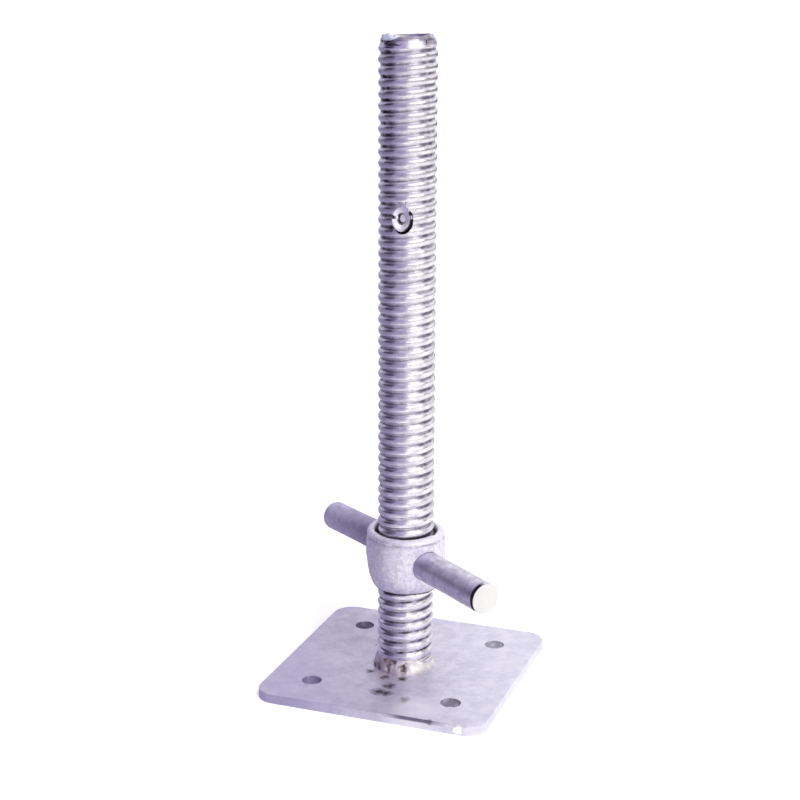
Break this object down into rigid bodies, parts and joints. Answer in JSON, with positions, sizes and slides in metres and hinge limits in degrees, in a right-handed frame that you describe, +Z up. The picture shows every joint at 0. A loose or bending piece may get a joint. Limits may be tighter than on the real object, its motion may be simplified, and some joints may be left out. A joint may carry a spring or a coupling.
{
  "type": "scaffold screw jack",
  "caption": "Upright hollow threaded spindle on a square base plate, with a cast adjusting nut turned by two bars to raise a tube seated on it.",
  "frame": {"origin": "on the underside of the base plate, on the spindle's axis", "axes": "+Z up along the spindle, X and Y along the edges of the square plate"},
  "size_m": [0.1514, 0.15, 0.408],
  "materials": {
    "zinc_plate": "hot-dip galvanised plate, satin",
    "zinc_spindle": "hot-dip galvanised rolled thread, semi-bright",
    "zinc_weld": "hot-dip galvanised weld bead",
    "zinc_pin": "hot-dip galvanised slotted pin",
    "zinc_casting": "hot-dip galvanised casting, matt",
    "zinc_bar": "hot-dip galvanised round bar, satin"
  },
  "bodies": {
    "root": {"base_plate": "zinc_plate", "spindle": "zinc_spindle", "base_weld": "zinc_weld", "stop_pin": "zinc_pin"},
    "nut": {"adjusting_nut": "zinc_casting", "near_handle_bar": "zinc_bar", "far_handle_bar": "zinc_bar"}
  },
  "joints": [
    {"name": "nut_travel", "type": "slide", "parent": "root", "child": "nut", "axis": [0, 0, 1], "range_m": [-0.0455, 0.202]}
  ]
}
